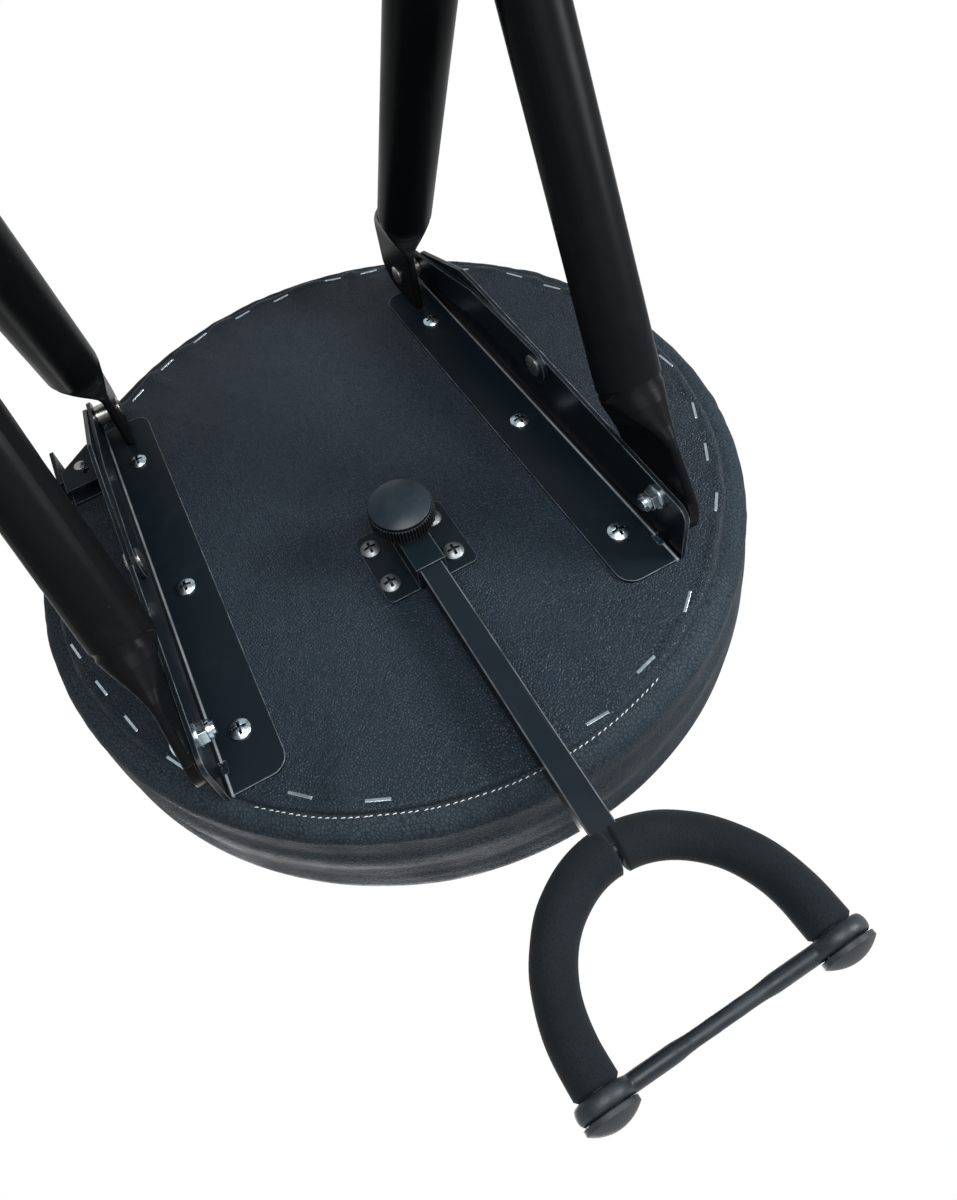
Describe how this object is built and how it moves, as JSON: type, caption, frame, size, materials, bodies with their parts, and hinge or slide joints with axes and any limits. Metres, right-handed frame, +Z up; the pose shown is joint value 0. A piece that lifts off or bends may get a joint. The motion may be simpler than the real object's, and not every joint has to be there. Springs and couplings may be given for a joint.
{
  "type": "folding guitar stool",
  "caption": "Folding stool with a round padded seat on crossing tube legs and a foam-sleeved yoke on a slide-out bar that holds a guitar by its neck.",
  "frame": {"origin": "on the floor, under the middle of the stool's bounding box", "axes": "+X to the front, where the hanger points, +Y to the sitter's left, +Z up"},
  "size_m": [0.527, 0.361, 0.624],
  "materials": {
    "vinyl": "leather-grain vinyl, satin",
    "plywood": "raw plywood",
    "cushion_foam": "soft foam",
    "staple_wire": "bright galvanised wire",
    "black_steel": "satin black powder coat",
    "bar_steel": "gloss black paint",
    "zinc_steel": "bright zinc plate",
    "nickel_steel": "dull nickel plate",
    "rivet_steel": "plain steel",
    "yoke_foam": "fine-cell foam rubber, matt",
    "black_rubber": "moulded rubber, satin",
    "knob_plastic": "moulded plastic, satin"
  },
  "bodies": {
    "outer_frame": {"outer_leg_right": "black_steel", "outer_leg_left": "black_steel", "brace_bar": "black_steel", "outer_foot_caps": "black_rubber", "cross_bolts": "zinc_steel", "cross_spacers": "zinc_steel", "cross_nuts": "zinc_steel"},
    "inner_frame": {"inner_leg_right": "black_steel", "inner_leg_left": "black_steel", "footrest_bar": "black_steel", "inner_foot_caps": "black_rubber", "leg_rivets": "rivet_steel", "leg_bushes": "rivet_steel"},
    "seat": {"seat_board": "plywood", "seat_pad": "cushion_foam", "seat_cover": "vinyl", "bottom_cover": "vinyl", "staples": "staple_wire", "rail_right": "black_steel", "rail_left": "black_steel", "rail_screws": "zinc_steel", "rail_rivets": "rivet_steel", "pivot_bolts": "zinc_steel", "pivot_washers": "zinc_steel", "pivot_nuts": "zinc_steel", "clamp_bracket": "black_steel", "clamp_screws": "nickel_steel", "clamp_nut": "black_steel", "lock_bracket": "black_steel", "lock_rivet": "rivet_steel", "lock_spring": "rivet_steel"},
    "links": {"link_right": "black_steel", "link_left": "black_steel", "link_studs": "rivet_steel"},
    "hanger": {"hanger_bar": "bar_steel", "yoke_rod": "bar_steel", "foam_right": "yoke_foam", "foam_left": "yoke_foam", "end_cap_right": "black_rubber", "end_cap_left": "black_rubber", "keeper_strap": "black_rubber"},
    "knob": {"clamp_knob": "knob_plastic", "clamp_stud": "rivet_steel"},
    "lock": {"lock_lever": "black_steel"}
  },
  "joints": [
    {"name": "seat_fold", "type": "hinge", "parent": "outer_frame", "child": "seat", "pos_m": [0.1082, 0, 0.5263], "axis": [0, 1, 0], "range_deg": [0, 125]},
    {"name": "frame_scissor", "type": "hinge", "parent": "outer_frame", "child": "inner_frame", "pos_m": [-0.01818, 0, 0.34594], "axis": [0, 1, 0], "range_deg": [0, 39.8]},
    {"name": "link_swing", "type": "hinge", "parent": "seat", "child": "links", "pos_m": [0.0257, 0, 0.5195], "axis": [0, -1, 0], "range_deg": [0, 162.7]},
    {"name": "hanger_slide", "type": "slide", "parent": "seat", "child": "hanger", "axis": [-1, 0, 0], "range_m": [0, 0.07]},
    {"name": "knob_turn", "type": "hinge", "parent": "seat", "child": "knob", "pos_m": [0.0602, -0.0105, 0.5231], "axis": [0, 0, 1], "continuous": true},
    {"name": "lock_swing", "type": "hinge", "parent": "seat", "child": "lock", "pos_m": [-0.0468, 0.108, 0.5249], "axis": [0, 0, 1], "range_deg": [0, 15], "stiffness_Nm_per_rad": 0.03}
  ],
  "couplings": [
    {"joint": "frame_scissor", "follows": "seat_fold", "ratio": 0.3181},
    {"joint": "link_swing", "follows": "seat_fold", "ratio": 1.301}
  ]
}
